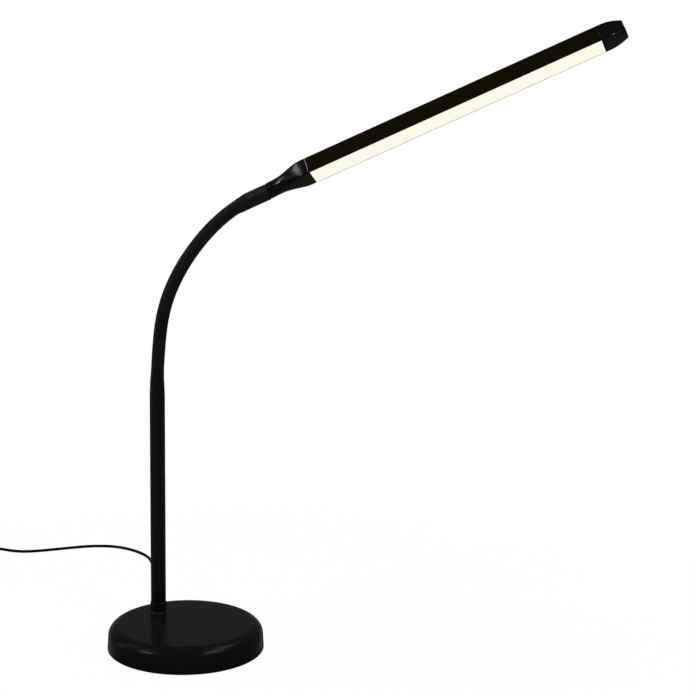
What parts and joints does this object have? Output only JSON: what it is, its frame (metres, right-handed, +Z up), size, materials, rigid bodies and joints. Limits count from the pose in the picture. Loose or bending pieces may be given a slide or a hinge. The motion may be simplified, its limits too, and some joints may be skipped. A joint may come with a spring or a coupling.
{
  "type": "gooseneck desk lamp",
  "caption": "Desk lamp with a weighted round base, a straight stem, a flexible gooseneck and a long straight light bar, with a switch on its lead.",
  "frame": {"origin": "middle of the foot pad's underside, on the table", "axes": "+Z up along the stem; +X the way the neck bends, from the base towards the light bar's end; -Y towards the side the picture shows"},
  "size_m": [0.7895, 0.37, 0.6018],
  "materials": {
    "base_paint": "satin black powder coat",
    "stem_paint": "satin black paint",
    "collar_black": "satin black moulding",
    "weight_iron": "raw casting",
    "plate_black": "dark zinc and lacquer",
    "pad_foam": "soft, matt",
    "screw_steel": "zinc plated",
    "link_steel": "blackened, oiled steel",
    "skin_rubber": "black rubber skin with a fine grain",
    "ferrule_black": "satin black lacquer",
    "adaptor_gloss": "glossy black",
    "bar_black": "black anodised",
    "diffuser_opal": "opal, lit warm white",
    "board_white": "white solder mask",
    "led_yellow": "phosphor",
    "cord_black": "satin black jacket",
    "switch_black": "fine texture",
    "rocker_black": "half gloss",
    "plug_metal": "nickel plated",
    "nut_steel": "zinc plated"
  },
  "bodies": {
    "base": {"foot_pad": "pad_foam", "base_plate": "plate_black", "plate_screws": "screw_steel", "base_weight": "weight_iron", "base_cover": "base_paint", "stem_collar": "collar_black", "stem_tube": "stem_paint", "stem_foot": "nut_steel", "stem_washer": "nut_steel", "stem_nut": "nut_steel", "cord_grommet": "cord_black", "stem_lead": "cord_black", "neck_ferrule": "ferrule_black", "cord_run": "cord_black", "cord_tail": "cord_black", "cord_coil": "cord_black", "coil_tie": "cord_black", "switch_base": "switch_black", "switch_cover": "switch_black", "plug_grip": "switch_black", "plug_shell": "plug_metal"},
    "neck_1": {"neck_link_1": "link_steel", "neck_skin_1": "skin_rubber", "neck_lead_1": "cord_black"},
    "neck_2": {"neck_link_2": "link_steel", "neck_skin_2": "skin_rubber", "neck_lead_2": "cord_black"},
    "neck_3": {"neck_link_3": "link_steel", "neck_skin_3": "skin_rubber", "neck_lead_3": "cord_black"},
    "neck_4": {"neck_link_4": "link_steel", "neck_skin_4": "skin_rubber", "neck_lead_4": "cord_black"},
    "neck_5": {"neck_link_5": "link_steel", "neck_skin_5": "skin_rubber", "neck_lead_5": "cord_black"},
    "neck_6": {"neck_link_6": "link_steel", "neck_skin_6": "skin_rubber", "neck_lead_6": "cord_black"},
    "neck_7": {"neck_link_7": "link_steel", "neck_skin_7": "skin_rubber", "neck_lead_7": "cord_black"},
    "neck_8": {"neck_link_8": "link_steel", "neck_skin_8": "skin_rubber", "neck_lead_8": "cord_black"},
    "neck_9": {"neck_link_9": "link_steel", "neck_skin_9": "skin_rubber", "neck_lead_9": "cord_black"},
    "head": {"head_ferrule": "ferrule_black", "head_adaptor": "adaptor_gloss", "adaptor_screw": "screw_steel", "light_channel": "bar_black", "led_board": "board_white", "leds": "led_yellow", "diffuser": "diffuser_opal", "end_cap": "adaptor_gloss", "head_lead": "cord_black"},
    "rocker": {"switch_rocker": "rocker_black"}
  },
  "joints": [
    {"name": "neck_bend_lower_1", "type": "hinge", "parent": "base", "child": "neck_1", "pos_m": [-0.03059, 0.0245, 0.27469], "axis": [0, 1, 0], "range_deg": [-24, 10]},
    {"name": "neck_sway_lower_1", "type": "hinge", "parent": "neck_1", "child": "neck_2", "pos_m": [-0.02911, 0.0245, 0.29444], "axis": [0.9936, 0, -0.1132], "range_deg": [-14, 14]},
    {"name": "neck_bend_lower_2", "type": "hinge", "parent": "neck_2", "child": "neck_3", "pos_m": [-0.02686, 0.0245, 0.31411], "axis": [0, 1, 0], "range_deg": [-24, 10]},
    {"name": "neck_sway_lower_2", "type": "hinge", "parent": "neck_3", "child": "neck_4", "pos_m": [-0.02224, 0.0245, 0.33336], "axis": [0.9304, 0, -0.3665], "range_deg": [-14, 14]},
    {"name": "neck_bend_lower_3", "type": "hinge", "parent": "neck_4", "child": "neck_5", "pos_m": [-0.01499, 0.0245, 0.35179], "axis": [0, 1, 0], "range_deg": [-24, 10]},
    {"name": "neck_sway_lower_3", "type": "hinge", "parent": "neck_5", "child": "neck_6", "pos_m": [-0.00569, 0.0245, 0.36927], "axis": [0.829, 0, -0.5592], "range_deg": [-14, 14]},
    {"name": "neck_bend_upper_1", "type": "hinge", "parent": "neck_6", "child": "neck_7", "pos_m": [0.00538, 0.0245, 0.38568], "axis": [0, 1, 0], "range_deg": [-24, 16]},
    {"name": "neck_sway_upper_1", "type": "hinge", "parent": "neck_7", "child": "neck_8", "pos_m": [0.01784, 0.0245, 0.40107], "axis": [0.7009, 0, -0.7133], "range_deg": [-14, 14]},
    {"name": "neck_bend_upper_2", "type": "hinge", "parent": "neck_8", "child": "neck_9", "pos_m": [0.03197, 0.0245, 0.41495], "axis": [0, 1, 0], "range_deg": [-24, 16]},
    {"name": "neck_sway_upper_2", "type": "hinge", "parent": "neck_9", "child": "head", "pos_m": [0.04778, 0.0245, 0.42686], "axis": [0.4305, 0, -0.9026], "range_deg": [-14, 14]},
    {"name": "switch_rock", "type": "hinge", "parent": "base", "child": "rocker", "pos_m": [-0.292, 0.254, 0.011], "axis": [0, 1, 0], "range_deg": [-16, 0]}
  ],
  "couplings": [
    {"joint": "neck_bend_lower_2", "follows": "neck_bend_lower_1", "ratio": 1},
    {"joint": "neck_sway_lower_2", "follows": "neck_sway_lower_1", "ratio": 1},
    {"joint": "neck_bend_lower_3", "follows": "neck_bend_lower_1", "ratio": 1},
    {"joint": "neck_sway_lower_3", "follows": "neck_sway_lower_1", "ratio": 1},
    {"joint": "neck_bend_upper_2", "follows": "neck_bend_upper_1", "ratio": 1},
    {"joint": "neck_sway_upper_2", "follows": "neck_sway_upper_1", "ratio": 1}
  ]
}
